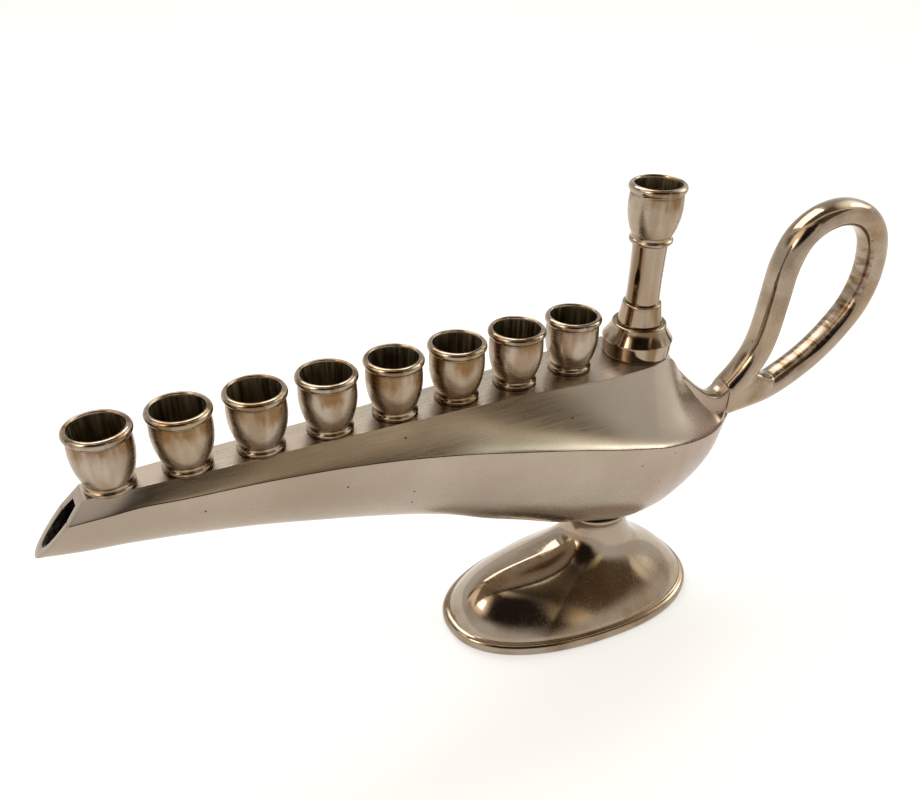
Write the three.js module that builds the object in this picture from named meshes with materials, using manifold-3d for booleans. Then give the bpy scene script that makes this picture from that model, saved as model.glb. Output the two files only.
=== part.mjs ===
// A nine-light Hanukkah lamp in the shape of an antique oil lamp: a boat-shaped hollow body on an oval foot,
// eight candle cups in a row on a flat rail, a raised ninth cup (the shamash) and a looped strap handle.
// Millimetres, +Z up. The spout points to -X, the handle to +X, and Y = 0 is the plane of symmetry.
import * as THREE from 'three';
import { mergeVertices } from 'three/addons/utils/BufferGeometryUtils.js';
import Module from 'manifold-3d';

const wasm = await Module();
wasm.setup();

// ---- driving dimensions ----
const body_length = 243;        // spout tip to the stern of the body
const rail_height = 101;        // table to the flat rail that the cups stand on
const wall = 2.4;               // casting wall of the body and the foot
const seam_gap = 0.3;           // solder line between the hull and the deck
const gap = 0.3;                // clearance between pieces that nest in each other
const thread_gap = 0.15;        // between a screw and the hole that it is threaded into

const cup_count = 8;
const cup_rim_radius = 9;
const cup_height = 18.4;
const cup_bore_radius = 7.2;
const cup_foot_radius = 6.93;
const cup_floor = 4.4;          // cup foot to the floor that the candle stands on
const cup_screw_radius = 1.5;
const cup_screw_head_radius = 2.9;
const cup_screw_head_height = 2;
const cup_screw_sink = 0.4;     // top of the head below the cup's floor
const cup_screw_length = 9;     // shank below the cup's foot
const boss_radius = 3.6;
const boss_length = 6.5;        // below the underside of the rail
const shamash_boss_radius = 5.6;

const shamash_base_radius = 11.6;
const shamash_base_height = 10.5;
const shamash_collar_radius = 7.2;
const shamash_collar_height = 7;
const shamash_stem_radius = 5.6;
const shamash_stem_height = 20;
const shamash_bolt_radius = 2;

const handle_depth = 9.4;       // across the strap, along Y
const root_height = 12.6;       // of the handle's root where it meets the stern
const handle_loop_height = 70.2;  // underside of the root to the strap's centreline at the top of the loop
const handle_length = 67.6;       // the flat root face to the far side of the loop
const handle_screw_radius = 1.5;
const handle_screw_reach = 9;   // thread inside the handle's root
const handle_washer_radius = 3.2;

const foot_length = 101.4;
const foot_width = 60.6;        // at the foot's middle; the outline is egg-shaped, wider towards the handle
const foot_egg = 0.09;          // share by which the outline widens at its rear end
const foot_ahead = 11.1;        // the foot's middle, ahead of the neck towards the spout
const foot_lip = 4.6;           // height of the rounded lip round the foot
const foot_step = 2.6;          // ledge between the lip and the swept body of the foot
const neck_radius_x = 11.5;
const neck_radius_y = 9.6;
const foot_bolt_radius = 2.5;
const foot_bolt_head_radius = 4.6;

// ---- derived places along the body ----
const tip_x = -180.3 / 243 * body_length;
const along = (fraction) => tip_x + fraction * body_length;
const stern_fraction = 0.9766;
const stern_face_x = along(stern_fraction);      // flat face that the handle's root meets
const neck_x = along(0.7675);
const shamash_x = along(0.7979);
const first_cup_x = along(0.0929);
const last_cup_x = along(0.6882);
const cup_pitch = (last_cup_x - first_cup_x) / (cup_count - 1);
const origin_x = (tip_x + stern_face_x + handle_length) / 2;

// ---- small tools ----
const mix = (a, b, t) => a + (b - a) * t;
const clamp01 = (t) => Math.min(1, Math.max(0, t));

// Smooth curve through [position, value] pairs that never overshoots them, flat beyond its ends.
function smooth(pairs) {
  const n = pairs.length;
  const secant = (i) => (pairs[i + 1][1] - pairs[i][1]) / (pairs[i + 1][0] - pairs[i][0]);
  const slope = pairs.map((p, i) => {
    if (i === 0) return secant(0);
    if (i === n - 1) return secant(n - 2);
    const [before, after] = [secant(i - 1), secant(i)];
    return before * after <= 0 ? 0 : 2 * before * after / (before + after);
  });
  return (x) => {
    if (x <= pairs[0][0]) return pairs[0][1];
    if (x >= pairs[n - 1][0]) return pairs[n - 1][1];
    let i = 0;
    while (x > pairs[i + 1][0]) i += 1;
    const h = pairs[i + 1][0] - pairs[i][0];
    const t = (x - pairs[i][0]) / h;
    const a = pairs[i][1];
    const b = pairs[i + 1][1];
    return a * (1 + 2 * t) * (1 - t) ** 2 + b * t * t * (3 - 2 * t)
      + slope[i] * h * t * (1 - t) ** 2 - slope[i + 1] * h * t * t * (1 - t);
  };
}

// Closed solid through rings of points, each ring a closed loop with the same number of points.
function loft(rings) {
  const n = rings[0].length;
  const position = rings.flat(2);
  const index = [];
  for (let i = 0; i + 1 < rings.length; i += 1) {
    for (let j = 0; j < n; j += 1) {
      const a = i * n + j;
      const b = i * n + ((j + 1) % n);
      index.push(a, b, b + n, a, b + n, a + n);
    }
  }
  for (const [ring, first, flip] of [[rings[0], 0, true], [rings.at(-1), (rings.length - 1) * n, false]]) {
    const centre = [0, 1, 2].map((k) => ring.reduce((sum, p) => sum + p[k], 0) / n);
    const c = position.length / 3;
    position.push(...centre);
    for (let j = 0; j < n; j += 1) {
      const a = first + j;
      const b = first + ((j + 1) % n);
      index.push(c, flip ? b : a, flip ? a : b);
    }
  }
  const geometry = new THREE.BufferGeometry();
  geometry.setAttribute('position', new THREE.Float32BufferAttribute(position, 3));
  geometry.setIndex(index);
  return outward(geometry);
}

// Turns a closed mesh's faces outwards if they point inwards.
function outward(geometry) {
  const p = geometry.attributes.position;
  const index = geometry.index.array;
  const [a, b, c] = [new THREE.Vector3(), new THREE.Vector3(), new THREE.Vector3()];
  let volume = 0;
  for (let i = 0; i < index.length; i += 3) {
    a.fromBufferAttribute(p, index[i]);
    b.fromBufferAttribute(p, index[i + 1]);
    c.fromBufferAttribute(p, index[i + 2]);
    volume += a.dot(b.cross(c));
  }
  if (volume < 0) geometry.setIndex(Array.from(index).reverse());
  return geometry;
}

function solid(geometry) {
  const bare = geometry.clone();
  bare.deleteAttribute('normal');
  bare.deleteAttribute('uv');
  const merged = mergeVertices(bare, 1e-4);
  const kept = [];
  const index = merged.index.array;
  for (let i = 0; i < index.length; i += 3) {
    const [a, b, c] = [index[i], index[i + 1], index[i + 2]];
    if (a !== b && b !== c && c !== a) kept.push(a, b, c);
  }
  return new wasm.Manifold(new wasm.Mesh({
    numProp: 3,
    vertProperties: new Float32Array(merged.attributes.position.array),
    triVerts: new Uint32Array(kept),
  }));
}

function geometryOf(manifold) {
  const mesh = manifold.getMesh();
  const geometry = new THREE.BufferGeometry();
  geometry.setAttribute('position', new THREE.Float32BufferAttribute(mesh.vertProperties, 3));
  geometry.setIndex(Array.from(mesh.triVerts));
  geometry.computeVertexNormals();
  return geometry;
}

// Turned solid about +Z from [radius, height] pairs that start and end on the axis.
function turned(profile, segments = 24) {
  const points = profile.map(([r, z]) => new THREE.Vector2(r, z));
  return new THREE.LatheGeometry(points, segments).rotateX(Math.PI / 2);
}

// Turned ring about +Z: the profile closes on itself round a bore.
function turnedRing(profile, segments = 24) {
  return turned([...profile, profile[0]], segments);
}

function rod(radius, low, high, segments = 14) {
  return turned([[0, low], [radius, low], [radius, high], [0, high]], segments);
}

const lying = (geometry) => geometry.rotateY(Math.PI / 2);
const at = (geometry, x, y, z) => geometry.translate(x, y, z);

// ---- materials ----
const satin_casting = new THREE.MeshStandardMaterial({ color: 0xa39880, roughness: 0.36, metalness: 1 });
const polished_casting = new THREE.MeshStandardMaterial({ color: 0xb5a68f, roughness: 0.2, metalness: 1 });
const turned_plate = new THREE.MeshStandardMaterial({ color: 0xb3a284, roughness: 0.24, metalness: 1 });
const fastener_steel = new THREE.MeshStandardMaterial({ color: 0x8d8d8c, roughness: 0.42, metalness: 1 });

const menorah = new THREE.Group();
menorah.position.x = -origin_x;

function add(name, geometry, material) {
  const mesh = new THREE.Mesh(geometry, material);
  mesh.name = name;
  menorah.add(mesh);
  return mesh;
}

// ---- body: half-widths and heights along its length, as fractions of the length from the spout tip ----
const rim_half_width = smooth([
  [0, 5.6], [0.05, 6.6], [0.1, 8], [0.15, 9.6], [0.23, 11.1], [0.33, 13.6], [0.41, 16.4], [0.48, 19.4],
  [0.56, 22], [0.64, 24], [0.72, 25], [0.78, 24.6], [0.84, 21.6], [0.88, 18], [0.92, 13.4], [0.955, 8.4],
  [0.98, 4], [1, 0.8],
]);
const rim_drop = smooth([
  [0, 5.6], [0.05, 5], [0.1, 4], [0.15, 3.8], [0.23, 4], [0.33, 4.8], [0.41, 6], [0.48, 7.6], [0.56, 11],
  [0.64, 15], [0.72, 20], [0.78, 24], [0.84, 28.2], [0.88, 31.2], [0.92, 34.2], [0.955, 36.4], [0.98, 37.4],
  [1, 38],
]);
const hull_depth = smooth([
  [0, 10.4], [0.05, 13], [0.1, 15.2], [0.15, 17], [0.21, 19.4], [0.33, 25.2], [0.48, 32.2], [0.55, 36.7],
  [0.6, 39], [0.68, 42.3], [0.76, 42.6], [0.83, 38.4], [0.87, 33], [0.91, 26.6], [0.945, 20.2], [0.97, 14],
  [0.99, 7], [1, 3],
]);
const rail_half_width = smooth([
  [0, 4], [0.06, 4.6], [0.12, 4.9], [0.16, 5.4], [0.21, 5.8], [0.3, 6.2], [0.38, 6.8], [0.46, 7.8],
  [0.56, 9], [0.62, 10.2], [0.68, 11.8], [0.74, 13], [0.79, 12.8], [0.82, 10.6], [0.84, 8], [0.86, 4.8],
  [0.89, 2.6], [1, 0.7],
]);
const crest_drop = smooth([
  [0, 0], [0.835, 0], [0.848, 2.5], [0.862, 9.5], [0.88, 14.5], [0.9, 19.4], [0.92, 24], [0.945, 29],
  [0.966, 32.6], [1, 36],
]);
const spout_lean = (f) => 0.95 * clamp01(1 - f / 0.2) ** 1.5;

// A point of the body's cross-section at a fraction f of the length. The sections lean at the open spout.
function section_point(f, y, z) {
  const rim_z = rail_height - rim_drop(f);
  const foot_of_lean = rim_z - hull_depth(f);
  return [along(f) + spout_lean(f) * (z - foot_of_lean), y, z];
}

const side_steps = 6;
// Half-outline of the hull's underside from the rim to the keel, pulled in by an offset.
function hull_arc(f, inset) {
  const half = Math.max(0.4, rim_half_width(f) - inset);
  const depth = Math.max(0.4, hull_depth(f) - inset);
  const rim_z = rail_height - rim_drop(f);
  return Array.from({ length: side_steps + 1 }, (_, i) => {
    const t = i / side_steps * Math.PI / 2;
    return [half * Math.cos(t) ** 0.94, rim_z - depth * Math.sin(t) ** 0.96];
  });
}

// Half-outline of the deck from the rim up its hollow flank to the edge of the rail.
function deck_arc(f, inset) {
  const half = Math.max(0.5, rim_half_width(f) - inset);
  const rail = Math.max(0.3, Math.min(rail_half_width(f), rim_half_width(f) * 0.82) - inset * 0.9);
  const rim_z = rail_height - rim_drop(f);
  const top = Math.max(rim_z + 0.4, rail_height - crest_drop(f) - inset);
  return Array.from({ length: side_steps + 1 }, (_, i) => {
    const t = i / side_steps;
    return [mix(half, rail, t), mix(rim_z, top, t ** 1.7)];
  });
}

// Ring from a half-outline: the right side, then the left side back, closed by a straight line between its ends.
function mirrored(f, half, lift) {
  const right = half.map(([y, z]) => section_point(f, y, z));
  const left = half.map(([y, z]) => section_point(f, -y, z)).reverse();
  const raised = (y) => section_point(f, y, half[0][1] + lift);
  return lift === 0 ? [...right, ...left] : [raised(half[0][0]), ...right, ...left, raised(-half[0][0])];
}

const stations = (from, to, count) => Array.from({ length: count + 1 }, (_, i) => mix(from, to, i / count));
const deck_stations = [...stations(0, 0.8, 18), ...stations(0.815, stern_fraction, 9)];
const hull_stations = [...deck_stations, ...stations(mix(stern_fraction, 1, 0.3), 1, 2)];

// ---- hull: the boat-shaped lower shell, open at the top and at the spout ----
const hull_outside = solid(loft(hull_stations.map((f) => {
  const arc = hull_arc(f, 0);
  return mirrored(f, [[arc[0][0], arc[0][1] - seam_gap], ...arc.slice(1)], 0);
})));
const hull_cavity_end = 0.955;
const hull_cavity = solid(loft(
  stations(-0.02, hull_cavity_end, 20).map((f) => mirrored(f, hull_arc(f, wall), 3))));
const keel_z = (f) => rail_height - rim_drop(f) - hull_depth(f);
const neck_fraction = (neck_x - tip_x) / body_length;
const pad_below = 1.4;          // the flat pad under the hull reaches this far below the keel
const pad_inside = 1.6;         // and this far above the inside of the hull
const seat_z = keel_z(neck_fraction) - pad_below;
const pad_top_z = keel_z(neck_fraction) + wall + pad_inside;
function oval(rx, ry, low, high, segments = 28) {
  const geometry = rod(1, low, high, segments);
  geometry.scale(rx, ry, 1);
  return geometry;
}
const pad = solid(at(oval(neck_radius_x, neck_radius_y, seat_z, pad_top_z), neck_x, 0, 0));
const foot_bolt_hole = solid(at(rod(foot_bolt_radius + gap, -1, pad_top_z + 1), neck_x, 0, 0));
add('hull', geometryOf(hull_outside.subtract(hull_cavity).add(pad).subtract(foot_bolt_hole)), satin_casting);

// ---- deck: the hollow-flanked upper shell with the flat rail, the screw bosses and the stern spine ----
const cup_places = Array.from({ length: cup_count }, (_, i) => first_cup_x + i * cup_pitch);
const deck_outside = solid(loft(deck_stations.map((f) => mirrored(f, deck_arc(f, 0), 0))));
const cavity_end = 0.942;
const cavity_end_x = along(cavity_end);
const deck_cavity = solid(loft([
  ...stations(-0.02, 0.8, 14), ...stations(0.83, cavity_end, 6),
].map((f) => mirrored(f, deck_arc(f, wall), -3))));
const root_bottom_z = rail_height - rim_drop(hull_cavity_end);
const root_top_z = root_bottom_z + root_height;
const handle_axis_z = root_bottom_z + 3.2;

// The spine: behind the shamash it dips like a saddle and rises to the handle's root.
function spine_geometry() {
  const start_x = shamash_x + shamash_base_radius + 2.5;
  const start_z = rail_height - crest_drop((start_x - tip_x) / body_length) + 1.2;
  const crest = new THREE.CubicBezierCurve(
    new THREE.Vector2(start_x, start_z),
    new THREE.Vector2(mix(start_x, stern_face_x, 0.35), mix(start_z, root_top_z, 0.75)),
    new THREE.Vector2(mix(start_x, stern_face_x, 0.6), root_top_z - 4.5),
    new THREE.Vector2(stern_face_x, root_top_z),
  );
  const steps = 10;
  return loft(stations(0, 1, steps).map((t) => {
    const { x, y: top } = crest.getPoint(t);
    const half = mix(2.4, handle_depth / 2, t ** 1.5);
    const low = mix(start_z - 5, root_bottom_z + 1.5, t);
    const shoulder = top - half * 0.75;
    return [
      [x, -half, low], [x, -half, shoulder],
      [x, -half * 0.8, top - half * 0.3], [x, -half * 0.4, top - half * 0.06],
      [x, half * 0.4, top - half * 0.06], [x, half * 0.8, top - half * 0.3],
      [x, half, shoulder], [x, half, low],
    ];
  }));
}
// Upright block inside the stern that the flat root face is cut on.
const root_block_length = 2.5;
function root_block() {
  const box = new THREE.BoxGeometry(root_block_length, handle_depth, root_top_z - root_bottom_z);
  return box.translate(stern_face_x - root_block_length / 2, 0, (root_top_z + root_bottom_z) / 2);
}
let deck = deck_outside.add(solid(spine_geometry())).subtract(deck_cavity).add(solid(root_block()));
const boss_low = rail_height - wall - boss_length;
for (const x of cup_places) {
  deck = deck.add(solid(at(rod(boss_radius, boss_low, rail_height - 1), x, 0, 0)));
}
deck = deck.add(solid(at(rod(shamash_boss_radius, boss_low, rail_height - 1), shamash_x, 0, 0)));
for (const x of cup_places) {
  deck = deck.subtract(solid(at(rod(cup_screw_radius + thread_gap, rail_height - cup_screw_length - 0.5,
    rail_height + 1), x, 0, 0)));
}
const shamash_hole = rod(shamash_bolt_radius + gap, boss_low - 1, rail_height + 1);
deck = deck.subtract(solid(at(shamash_hole, shamash_x, 0, 0)));
deck = deck.subtract(solid(at(lying(rod(handle_screw_radius + gap, cavity_end_x - 1, stern_face_x + 1)),
  0, 0, handle_axis_z)));
// Spot face for the head and washer of the handle's screw.
deck = deck.subtract(solid(at(lying(rod(handle_washer_radius + gap, cavity_end_x - 5, cavity_end_x)),
  0, 0, handle_axis_z)));
add('deck', geometryOf(deck), satin_casting);

// ---- candle cups ----
const cup_segments = 18;
// Cup in its own frame: foot at z = 0, rim at z = cup_height, bored through for its screw.
function cup_profile(screw_radius) {
  const bead = 1.33;
  const foot_bead = 1.15;
  const belly = cup_rim_radius - 0.55;
  const neck = cup_foot_radius - 0.75;
  const rim_low = cup_height - 2 * bead;
  const head_floor = cup_floor - cup_screw_head_height - cup_screw_sink;
  const head_bore = cup_screw_head_radius + gap;
  return [
    [screw_radius + gap, 0], [cup_foot_radius - 0.4, 0], [cup_foot_radius, foot_bead],
    [neck, foot_bead * 1.75],
    [mix(neck, belly, 0.6), mix(foot_bead * 1.75, rim_low, 0.22)],
    [belly, mix(foot_bead * 1.75, rim_low, 0.62)],
    [belly - 0.3, rim_low - 0.1], [cup_rim_radius, rim_low + bead * 0.6],
    [cup_rim_radius, rim_low + bead * 1.4], [cup_rim_radius - bead, cup_height],
    [cup_bore_radius, cup_height - bead], [cup_bore_radius - 0.6, cup_floor],
    [head_bore, cup_floor], [head_bore, head_floor], [screw_radius + gap, head_floor],
  ];
}
// Pan-head screw in the cup's frame; it reaches down through the cup's foot.
function cup_screw(reach, radius = cup_screw_radius) {
  const seat = cup_floor - cup_screw_head_height - cup_screw_sink;
  return turned([
    [0, -reach], [radius, -reach], [radius, seat],
    [cup_screw_head_radius, seat], [cup_screw_head_radius, seat + cup_screw_head_height * 0.55],
    [cup_screw_head_radius * 0.6, seat + cup_screw_head_height], [0, seat + cup_screw_head_height],
  ], 10);
}
cup_places.forEach((x, i) => {
  add(`candle_cup_${i + 1}`, turnedRing(cup_profile(cup_screw_radius), cup_segments), turned_plate)
    .position.set(x, 0, rail_height);
  add(`cup_screw_${i + 1}`, cup_screw(cup_screw_length), fastener_steel).position.set(x, 0, rail_height);
});

// ---- shamash: base cone, collar, stem and cup, clamped by one long bolt ----
const bolt_bore = shamash_bolt_radius + gap;
const base_top = rail_height + shamash_base_height;
const collar_top = base_top + shamash_collar_height;
const stem_top = collar_top + shamash_stem_height;
add('shamash_base', turnedRing([
  [bolt_bore, 0], [shamash_base_radius - 0.9, 0], [shamash_base_radius, 1.2], [shamash_base_radius, 2.6],
  [shamash_base_radius - 0.5, 3.6], [shamash_base_radius - 2.3, shamash_base_height - 1.2],
  [shamash_base_radius - 3, shamash_base_height], [bolt_bore, shamash_base_height],
], 28), turned_plate).position.set(shamash_x, 0, rail_height);
add('shamash_collar', turnedRing([
  [bolt_bore, 0], [shamash_collar_radius, 0], [shamash_collar_radius, 0.8],
  [shamash_collar_radius - 1, shamash_collar_height - 0.4],
  [shamash_collar_radius - 1.4, shamash_collar_height],
  [bolt_bore, shamash_collar_height],
]), turned_plate).position.set(shamash_x, 0, base_top);
add('shamash_stem', turnedRing([
  [bolt_bore, 0], [shamash_stem_radius - 0.1, 0], [shamash_stem_radius - 0.3, shamash_stem_height * 0.4],
  [shamash_stem_radius, shamash_stem_height], [bolt_bore, shamash_stem_height],
]), turned_plate).position.set(shamash_x, 0, collar_top);
add('shamash_cup', turnedRing(cup_profile(shamash_bolt_radius), cup_segments), turned_plate)
  .position.set(shamash_x, 0, stem_top);
const washer_height = 1;
const nut_height = 3;
const shamash_bolt_reach = stem_top - (boss_low - washer_height - nut_height - 2);
add('shamash_bolt', cup_screw(shamash_bolt_reach, shamash_bolt_radius), fastener_steel)
  .position.set(shamash_x, 0, stem_top);

// Flat washer and hexagonal nut for a bolt of the given radius, with their top faces at z = 0.
function washer(bolt_radius, radius = bolt_radius * 2.1) {
  return turnedRing([
    [bolt_radius + gap, -washer_height], [radius, -washer_height], [radius, 0], [bolt_radius + gap, 0],
  ], 16);
}
function nut(bolt_radius) {
  const hexagon = new THREE.CylinderGeometry(bolt_radius * 1.9, bolt_radius * 1.9, nut_height, 6)
    .rotateX(Math.PI / 2).translate(0, 0, -nut_height / 2);
  return geometryOf(solid(hexagon).subtract(solid(rod(bolt_radius + thread_gap, -nut_height - 1, 1))));
}
add('shamash_washer', washer(shamash_bolt_radius), fastener_steel).position.set(shamash_x, 0, boss_low);
add('shamash_nut', nut(shamash_bolt_radius), fastener_steel)
  .position.set(shamash_x, 0, boss_low - washer_height);

// ---- handle: a strap bent into a teardrop loop, with a block root that meets the stern ----
const strap_thickness = 7.6;
// The path's points are written for a loop of this length and height, and stretched to the one that is wanted.
const drawn_length = 67.6;
const drawn_height = 70.2;
const loop_x = (u) => stern_face_x + u / drawn_length * handle_length;
const loop_z = (v) => root_bottom_z + v / drawn_height * handle_loop_height;
// The strap's centreline: up from the root, round the loop and back to the root.
const strap_path = new THREE.CatmullRomCurve3([
  [2, 8.8], [8.6, 15], [13.2, 21.4], [15.7, 28.6], [17.3, 41.4], [18.9, 55.2], [23, 63.8], [30.8, 68.8],
  [42, 70.2], [53, 66.6], [61, 58.2], [63.8, 44.6], [60.6, 32.4], [51.4, 21.4], [41.6, 14], [30.2, 8.4],
  [20.4, 5.4], [2, 4],
].map(([u, v]) => new THREE.Vector3(loop_x(u), 0, loop_z(v))));
function strap_geometry() {
  const steps = 40;
  const corners = 10;
  return loft(stations(0, 1, steps).map((t) => {
    const point = strap_path.getPointAt(t);
    const tangent = strap_path.getTangentAt(t);
    const normal = new THREE.Vector3(-tangent.z, 0, tangent.x);
    return Array.from({ length: corners }, (_, j) => {
      const angle = (j + 0.5) / corners * Math.PI * 2;
      const side = Math.sign(Math.cos(angle)) * Math.abs(Math.cos(angle)) ** 0.6 * handle_depth / 2;
      const out = Math.sign(Math.sin(angle)) * Math.abs(Math.sin(angle)) ** 0.75 * strap_thickness / 2;
      return [point.x + normal.x * out, side, point.z + normal.z * out];
    });
  }));
}
// The block that both ends of the strap run into, from the flat root face to the bottom of the loop's eye.
const root_span = 16.5;
function root_geometry() {
  return loft(stations(0, 1, 5).map((t) => {
    const x = loop_x(t * root_span);
    const low = mix(root_bottom_z, loop_z(3.5), t);
    const high = mix(root_top_z, loop_z(10.5), t);
    const half = handle_depth / 2 * (1 - 0.1 * t);
    return [
      [x, -half * 0.75, low], [x, -half, low + 2], [x, -half, high - 2], [x, -half * 0.75, high],
      [x, half * 0.75, high], [x, half, high - 2], [x, half, low + 2], [x, half * 0.75, low],
    ];
  }));
}
const handle_hole_end = stern_face_x + handle_screw_reach + 0.5;
const handle_hole = lying(rod(handle_screw_radius + thread_gap, stern_face_x - 1, handle_hole_end))
  .translate(0, 0, handle_axis_z);
const root_trim = new THREE.BoxGeometry(20, 40, 60).translate(stern_face_x - 10, 0, handle_axis_z);
const handle_body = solid(strap_geometry()).add(solid(root_geometry()));
const handle_trimmed = handle_body.subtract(solid(root_trim)).subtract(solid(handle_hole));
add('handle', geometryOf(handle_trimmed), polished_casting);
add('handle_washer', lying(washer(handle_screw_radius, handle_washer_radius)), fastener_steel)
  .position.set(cavity_end_x, 0, handle_axis_z);
const handle_head_height = 1.8;
const handle_head_radius = 2.8;
add('handle_screw', lying(turned([
  [0, -washer_height - handle_head_height], [handle_head_radius * 0.8, -washer_height - handle_head_height],
  [handle_head_radius, -washer_height - handle_head_height * 0.5],
  [handle_head_radius, -washer_height], [handle_screw_radius, -washer_height],
  [handle_screw_radius, stern_face_x + handle_screw_reach - cavity_end_x],
  [0, stern_face_x + handle_screw_reach - cavity_end_x],
], 14)), fastener_steel).position.set(cavity_end_x, 0, handle_axis_z);

// ---- foot: an oval bell with a rounded lip, hollow underneath ----
const around = 32;
const foot_rx = foot_length / 2;
const foot_ry = foot_width / 2;
// Height profile from the neck (s = 0) to the lip (s = 1): down beside the neck, a long ramp, a rounded toe.
const profile = (...points) => new THREE.CubicBezierCurve(...points.map(([x, y]) => new THREE.Vector2(x, y)));
const toe_profile = profile([0, 1], [0.02, 0.3], [0.86, 0.98], [1, 0]);
const side_profile = profile([0, 1], [0.05, 0.4], [0.62, 0.42], [1, 0]);
const foot_x = neck_x - foot_ahead;
// A point of the foot's egg-shaped outline, pulled in by an inset.
function egg_point(angle, inset) {
  const power = (value) => Math.sign(value) * Math.abs(value) ** 0.88;
  const [c, n] = [power(Math.cos(angle)), power(Math.sin(angle))];
  return [foot_x + (foot_rx - inset) * c, (foot_ry * (1 + foot_egg * c) - inset) * n];
}
const angles = Array.from({ length: around }, (_, j) => j / around * Math.PI * 2);
const foot_ceiling = seat_z - 5.5;       // inside the neck, where the foot bolt's washer sits
// A ring of the foot's body; the rings of its hollow are drawn in by an inset and stay below the ceiling.
function foot_ring(s, inset) {
  return angles.map((angle) => {
    const [c, n] = [Math.cos(angle), Math.sin(angle)];
    const front = clamp01(-c) ** 2;
    const p = side_profile.getPoint(s).lerp(toe_profile.getPoint(s), front);
    const [x, y] = egg_point(angle, foot_step + inset);
    const z = mix(foot_lip + 1, seat_z, p.y);
    return [
      mix(neck_x + (neck_radius_x - inset) * c, x, p.x),
      mix((neck_radius_y - inset) * n, y, p.x),
      inset > 0 ? Math.min(z - wall, foot_ceiling) : z,
    ];
  });
}
const lip_oval = (shrink, z) => angles.map((angle) => [...egg_point(angle, shrink), z]);
const foot_outside = solid(loft([
  lip_oval(1.2, 0), lip_oval(0.3, 0.7), lip_oval(0, 2), lip_oval(0.2, 3.5), lip_oval(1.1, foot_lip),
  lip_oval(foot_step, foot_lip + 0.2),
  ...stations(1, 0, 9).map((s) => foot_ring(s, 0)),
]));
const foot_cavity = solid(loft([
  lip_oval(foot_step + 1.6, -1), lip_oval(foot_step + wall, 2.4),
  ...stations(0.98, 0.12, 5).map((s) => foot_ring(s, wall)),
]));
const foot_pocket = solid(at(oval(
  neck_radius_x - wall, neck_radius_y - wall, foot_ceiling - 14, foot_ceiling), neck_x, 0, 0));
const foot_hole = solid(at(rod(foot_bolt_radius + gap, -2, seat_z + 1), neck_x, 0, 0));
const belly_clearance = hull_outside.translate([0, 0, -gap]);
add('foot', geometryOf(
  foot_outside.subtract(foot_cavity).subtract(foot_pocket).subtract(foot_hole).subtract(belly_clearance),
), polished_casting);

const foot_bolt_head = 3;
add('foot_washer', washer(foot_bolt_radius), fastener_steel).position.set(neck_x, 0, foot_ceiling);
add('foot_bolt', turned([
  [0, -washer_height - foot_bolt_head], [foot_bolt_head_radius * 0.8, -washer_height - foot_bolt_head],
  [foot_bolt_head_radius, -washer_height - foot_bolt_head * 0.7], [foot_bolt_head_radius, -washer_height],
  [foot_bolt_radius, -washer_height], [foot_bolt_radius, pad_top_z + nut_height + 2 - foot_ceiling],
  [0, pad_top_z + nut_height + 2 - foot_ceiling],
], 16), fastener_steel).position.set(neck_x, 0, foot_ceiling);
add('foot_nut', nut(foot_bolt_radius), fastener_steel).position.set(neck_x, 0, pad_top_z + nut_height);

export default menorah;
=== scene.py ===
"""The looks of a nine-light Hanukkah lamp in the shape of an antique oil lamp, built round its CAD frame.

Each part that shows is made here as a fine mesh in metres, in the CAD frame, and stands for the CAD node of
the same part. The screws, bolts, washers and nuts are the CAD nodes themselves, with a steel finish.
The spout points to -X, the handle to +X, and Y = 0 is the plane of symmetry.
"""

import math

import bpy
import numpy as np
from mathutils import Matrix, Vector


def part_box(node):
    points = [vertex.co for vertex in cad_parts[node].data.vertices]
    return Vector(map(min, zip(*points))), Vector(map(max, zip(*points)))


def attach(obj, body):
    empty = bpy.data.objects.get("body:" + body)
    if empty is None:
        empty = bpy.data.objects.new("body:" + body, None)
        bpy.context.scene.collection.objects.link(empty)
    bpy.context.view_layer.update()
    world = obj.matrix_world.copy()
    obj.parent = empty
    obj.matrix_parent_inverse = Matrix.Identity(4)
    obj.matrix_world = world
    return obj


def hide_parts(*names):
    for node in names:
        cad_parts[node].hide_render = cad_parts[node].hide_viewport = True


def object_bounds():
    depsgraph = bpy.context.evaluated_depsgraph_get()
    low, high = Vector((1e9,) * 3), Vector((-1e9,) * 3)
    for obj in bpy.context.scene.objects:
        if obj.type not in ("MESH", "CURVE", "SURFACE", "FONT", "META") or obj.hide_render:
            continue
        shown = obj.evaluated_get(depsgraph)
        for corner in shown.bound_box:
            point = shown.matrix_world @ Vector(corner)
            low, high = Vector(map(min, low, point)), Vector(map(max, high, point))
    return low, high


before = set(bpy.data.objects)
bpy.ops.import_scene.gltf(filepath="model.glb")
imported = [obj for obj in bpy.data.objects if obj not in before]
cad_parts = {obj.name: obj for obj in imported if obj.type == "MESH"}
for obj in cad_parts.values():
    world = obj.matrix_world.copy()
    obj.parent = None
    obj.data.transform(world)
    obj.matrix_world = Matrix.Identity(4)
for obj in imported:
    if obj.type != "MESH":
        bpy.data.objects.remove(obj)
cad_box = [list(corner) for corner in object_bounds()]

mm = 0.001

# ---- camera: at the reference viewing angle ----
VIEW_AZIMUTH = -28.2565
VIEW_ELEVATION = 35.588
VIEW_ROLL = 0.804
VIEW_DISTANCE = 0.299567
VIEW_LENS = 35.99
VIEW_SHIFT = (0.01004, 0.0852)
VIEW_TARGET = (0.40805, 0.4466)   # shares of the object's length and height
SENSOR_WIDTH = 36


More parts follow.
